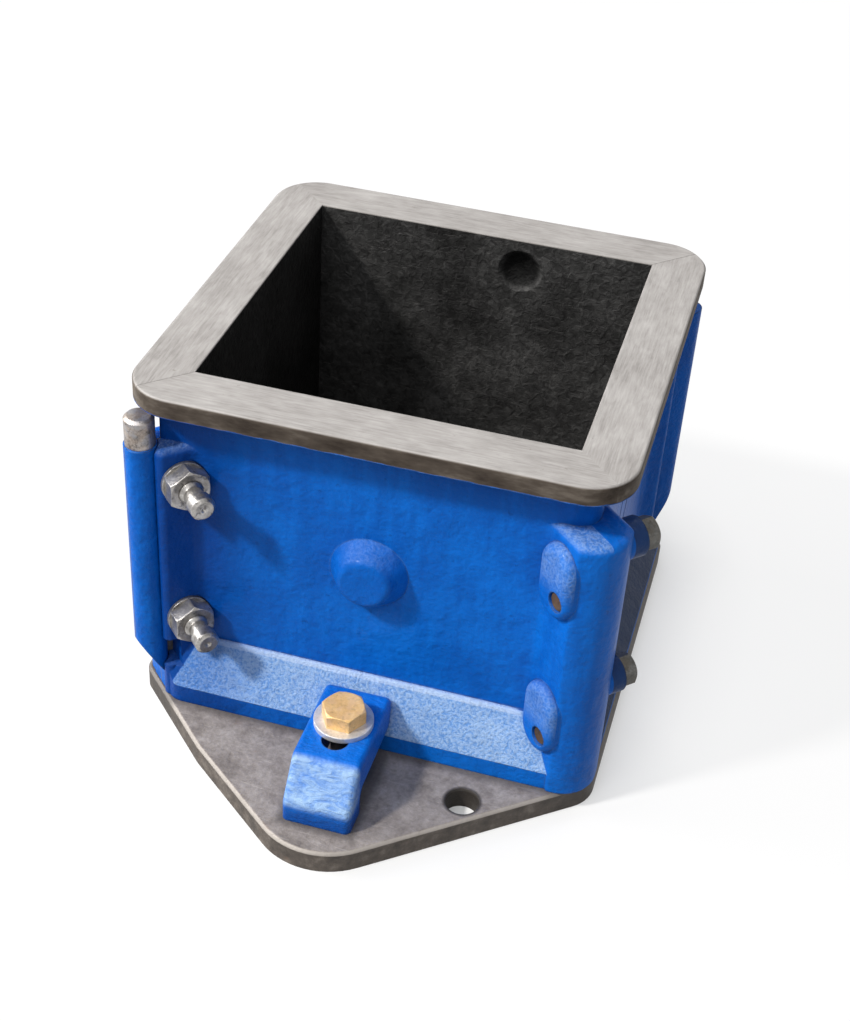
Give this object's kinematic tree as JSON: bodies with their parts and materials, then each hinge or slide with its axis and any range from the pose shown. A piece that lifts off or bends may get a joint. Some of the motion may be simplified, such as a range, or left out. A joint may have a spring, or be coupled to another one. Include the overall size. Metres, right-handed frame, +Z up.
{
  "type": "concrete cube mould",
  "caption": "Cast-iron cube mould for concrete test samples: bolted wall halves drawn together by studs and clamped to an eared base plate, open at the top",
  "frame": {"origin": "centre of the base plate's underside, which is also the cavity's vertical axis", "axes": "+Z up out of the cavity, the front clamp towards -Y, +X to the right seen from that clamp"},
  "size_m": [0.2156, 0.3198, 0.16],
  "materials": {
    "blue_paint": "glossy blue enamel on cast iron, rim ground bare and cavity oiled black",
    "bare_iron": "ground bare iron, lightly oiled",
    "plated_steel": "plain zinc plate, slightly dull",
    "yellow_zinc": "yellow passivated zinc",
    "dark_steel": "black oxide, oiled"
  },
  "bodies": {
    "base": {"base_plate": "bare_iron", "rear_wall": "blue_paint", "left_wall": "blue_paint", "rear_joint_bolt_upper": "dark_steel", "rear_joint_bolt_lower": "dark_steel", "rear_dowel_upper": "dark_steel", "rear_dowel_lower": "dark_steel", "front_stud_upper": "plated_steel", "front_stud_lower": "plated_steel", "rear_stud_washer_upper": "plated_steel", "rear_stud_washer_lower": "plated_steel"},
    "front_half": {"front_wall": "blue_paint", "right_wall": "blue_paint", "front_joint_bolt_upper": "dark_steel", "front_joint_bolt_lower": "dark_steel", "front_dowel_upper": "dark_steel", "front_dowel_lower": "dark_steel", "rear_stud_upper": "plated_steel", "rear_stud_lower": "plated_steel", "front_stud_washer_upper": "plated_steel", "front_stud_washer_lower": "plated_steel"},
    "front_clamp": {"front_clamp": "blue_paint"},
    "rear_clamp": {"rear_clamp": "blue_paint"},
    "front_clamp_bolt": {"front_clamp_bolt": "yellow_zinc", "front_clamp_washer": "plated_steel"},
    "rear_clamp_bolt": {"rear_clamp_bolt": "yellow_zinc", "rear_clamp_washer": "plated_steel"},
    "corner_pin": {"corner_pin": "plated_steel"},
    "front_stud_nut_upper": {"front_stud_nut_upper": "plated_steel"},
    "front_stud_nut_lower": {"front_stud_nut_lower": "plated_steel"},
    "rear_stud_nut_upper": {"rear_stud_nut_upper": "plated_steel"},
    "rear_stud_nut_lower": {"rear_stud_nut_lower": "plated_steel"}
  },
  "joints": [
    {"name": "halves_part", "type": "slide", "parent": "base", "child": "front_half", "axis": [0.7071, -0.7071, 0], "range_m": [0, 0.007]},
    {"name": "front_clamp_back", "type": "slide", "parent": "base", "child": "front_clamp", "axis": [0, -1, 0], "range_m": [0, 0.0071]},
    {"name": "front_clamp_bolt_turn", "type": "hinge", "parent": "base", "child": "front_clamp_bolt", "pos_m": [0, -0.113, 0.038], "axis": [0, 0, 1], "continuous": true},
    {"name": "rear_clamp_back", "type": "slide", "parent": "base", "child": "rear_clamp", "axis": [0, 1, 0], "range_m": [0, 0.007]},
    {"name": "rear_clamp_bolt_turn", "type": "hinge", "parent": "base", "child": "rear_clamp_bolt", "pos_m": [0, 0.113, 0.038], "axis": [0, 0, 1], "continuous": true},
    {"name": "corner_pin_turn", "type": "hinge", "parent": "base", "child": "corner_pin", "pos_m": [-0.09143, -0.09143, 0.134], "axis": [0, 0, 1], "continuous": true},
    {"name": "front_stud_nut_upper_turn", "type": "hinge", "parent": "front_half", "child": "front_stud_nut_upper", "pos_m": [-0.07177, -0.09313, 0.119], "axis": [0.7071, -0.7071, 0], "continuous": true},
    {"name": "front_stud_nut_lower_turn", "type": "hinge", "parent": "front_half", "child": "front_stud_nut_lower", "pos_m": [-0.07177, -0.09313, 0.052], "axis": [0.7071, -0.7071, 0], "continuous": true},
    {"name": "rear_stud_nut_upper_turn", "type": "hinge", "parent": "base", "child": "rear_stud_nut_upper", "pos_m": [0.07177, 0.09313, 0.119], "axis": [-0.7071, 0.7071, 0], "continuous": true},
    {"name": "rear_stud_nut_lower_turn", "type": "hinge", "parent": "base", "child": "rear_stud_nut_lower", "pos_m": [0.07177, 0.09313, 0.052], "axis": [-0.7071, 0.7071, 0], "continuous": true}
  ],
  "couplings": [
    {"joint": "front_clamp_back", "follows": "halves_part", "ratio": 1}
  ]
}
